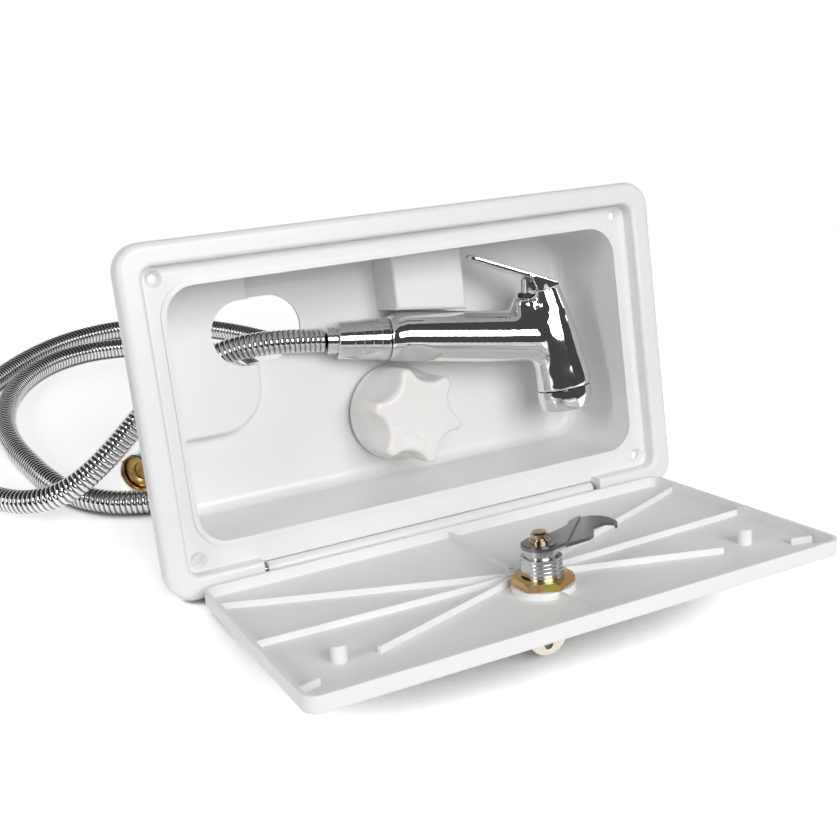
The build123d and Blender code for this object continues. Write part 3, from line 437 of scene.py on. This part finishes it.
knob = even_skin("knob", "soft_knob", voxel=0.0006)
soften(knob, times=16)
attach(knob, "knob")
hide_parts("knob")
knob_plastic.on(knob)

# Hand sprayer: a hollow, chromed casting with a flat thumb lever on top,
# and a spray face with fine holes at its lower end. The neck between handle and head is softened most.
sprayer_chrome = Finish("sprayer_chrome", Metallic=1.0)
wear = sprayer_chrome.noise(40.0, 3.0)
sprayer_chrome.feed("Base Color", sprayer_chrome.ramp(wear, (0.3, grey(0.80)), (0.7, grey(0.86))))
sprayer_chrome.feed("Roughness", sprayer_chrome.between(wear, 0.03, 0.07))
sprayer_chrome.on("spray_ring")

seam = Vector((0.0019, 0.0385, 0.0193))
handle_way = Vector((0.97329, -0.19466, -0.12170))
handle_up = Vector((0.11933, -0.02387, 0.99257))
casting = even_skin("sprayer_body", "casting", voxel=0.0008)


def ease(value, low, high):
    share = min(max((value - low) / (high - low), 0.0), 1.0)
    return share * share * (3 - 2 * share)


# The bore, up to 7 mm from the handle's axis, keeps its shape. The neck lies from 70 mm along the handle on,
# from 26 mm below the axis to 18 mm above it.
neck = casting.vertex_groups.new(name="neck")
outside = casting.vertex_groups.new(name="outside")
for vertex in casting.data.vertices:
    reach = vertex.co - seam
    along, height = reach.dot(handle_way), reach.dot(handle_up)
    from_axis = (reach - along * handle_way).length
    outer = ease(from_axis, 0.0070, 0.0090)
    near = ease(along, 0.070, 0.082) * ease(height, -0.026, -0.016) * (1.0 - ease(height, 0.012, 0.018))
    neck.add([vertex.index], near * outer, "REPLACE")
    outside.add([vertex.index], outer, "REPLACE")
soften(casting, times=260, group="neck")
soften(casting, times=6, group="outside")
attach(casting, "sprayer")
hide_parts("sprayer_body")
sprayer_chrome.on(casting)

lever = even_skin("lever", "pressed_lever", voxel=0.0004)
soften(lever, times=5)
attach(lever, "lever")
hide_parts("lever")
sprayer_chrome.on(lever)
face_plastic = Finish("face_plastic")
grain = face_plastic.noise(700.0)
face_plastic.feed("Base Color", face_plastic.ramp(grain, (0.3, grey(0.10)), (0.7, grey(0.16))))
face_plastic.feed("Roughness", face_plastic.between(grain, 0.4, 0.55))
face_plastic.on("spray_plate")

# Studio: a pale floor that slopes up behind the box, as the photograph shows it, and fades into white.
# The soft box in front is seen by mirroring surfaces alone, and the front and back lamps light matt ones alone.
# Two narrow lamps at the sides draw the shadows of the lid's posts and ribs.
bpy.ops.object.select_all(action="DESELECT")
bpy.ops.mesh.primitive_grid_add(x_subdivisions=1, y_subdivisions=60, size=2.4)
floor = bpy.context.object
floor.name = "floor"
# In front of the box the floor bends further down, which leaves room for the key under the open lid.
floor_level = -0.0916
bend_from = 0.01
bend_slope = 0.14
bend_round = 0.015
for vertex in floor.data.vertices:
    y = vertex.co.y
    fall = max(-y - bend_from, 0.0)
    vertex.co.z = floor_level + floor_slope * y - bend_slope * fall * fall / (fall + bend_round)
pale = Finish("floor", Roughness=0.9, Specular_IOR_Level=0.0, Emission_Strength=1.0)
# Between 0.45 and 0.85 m from its middle the floor fades into the white of the room.
middle = (-0.05, 0.08, 0.0)
from_middle = pale.node("ShaderNodeVectorMath", {"operation": "DISTANCE"}, {0: pale.place(), 1: middle}, "Value")
far = from_middle.rise(0.45, 0.85)
# The shadow under box and lid is where little of the room is open above the floor.
open_above = pale.node("ShaderNodeAmbientOcclusion", {"samples": 24}, {"Distance": 0.12}, "AO")
covered = 1.0 - open_above.rise(0.17, 0.32)
from_camera = pale.node("ShaderNodeLightPath", output="Is Camera Ray")
seen = from_camera + pale.node("ShaderNodeLightPath", output="Is Glossy Ray")
pale.feed("Base Color", (0.9 - far * 0.9) * (1.0 - covered * 0.4))
pale.feed("Emission Color", seen * (far + (1.0 - far) * (1.0 - covered) * 0.5))
pale.on(floor)

world = bpy.data.worlds.new("studio")
bpy.context.scene.world = world
world.use_nodes = True
room = Nodes(world.node_tree)
background = world.node_tree.nodes["Background"]
looking = room.node("ShaderNodeTexCoord", output="Generated")
across = room.node("ShaderNodeSeparateXYZ", None, {0: looking}, "Y")
upward = room.node("ShaderNodeSeparateXYZ", None, {0: looking}, "Z")
camera_ray = room.node("ShaderNodeLightPath", output="Is Camera Ray")
glossy_ray = room.node("ShaderNodeLightPath", output="Is Glossy Ray")
# In mirroring surfaces the room is dark in front and overhead, and bright behind the box.
reflected = 0.065 + across.rise(-0.25, 0.3) * (1.0 - upward.rise(0.35, 0.75)) * 0.95
soft = 0.1 + across.rise(0.0, 0.5) * 0.35
level = camera_ray + (1.0 - camera_ray) * (soft + glossy_ray * (reflected - soft))
background.inputs["Color"].default_value = (1, 1, 1, 1)
room.put(background.inputs["Strength"], level)

for name, place, aim, width, height, power, mirrored, lighting in (
    ("front soft box", (0.05, -1.55, 0.39), (0.0, 0.0, 0.02), 1.1, 0.68, 14.0, True, False),
    ("front lamp", (0.05, -1.55, 0.45), (0.0, 0.0, 0.0), 1.1, 1.0, 21.0, False, True),
    ("left lamp", (-1.3, -0.5, 0.55), (0.0, -0.05, -0.05), 0.25, 0.6, 5.0, True, True),
    ("right lamp", (1.3, -0.6, 0.55), (0.0, -0.05, -0.05), 0.25, 0.6, 1.5, True, True),
    ("back lamp", (0.4, 1.6, 0.75), (0.0, 0.1, 0.0), 0.9, 0.6, 9.0, False, True),
):
    lamp = bpy.data.lights.new(name, "AREA")
    lamp.shape = "RECTANGLE"
    lamp.size = width
    lamp.size_y = height
    lamp.energy = power
    lamp_object = bpy.data.objects.new(name, lamp)
    lamp_object.location = place
    lamp_object.visible_glossy = mirrored
    lamp_object.visible_diffuse = lighting
    lamp_object.rotation_euler = (Vector(aim) - Vector(place)).to_track_quat("-Z", "Y").to_euler()
    bpy.context.collection.objects.link(lamp_object)
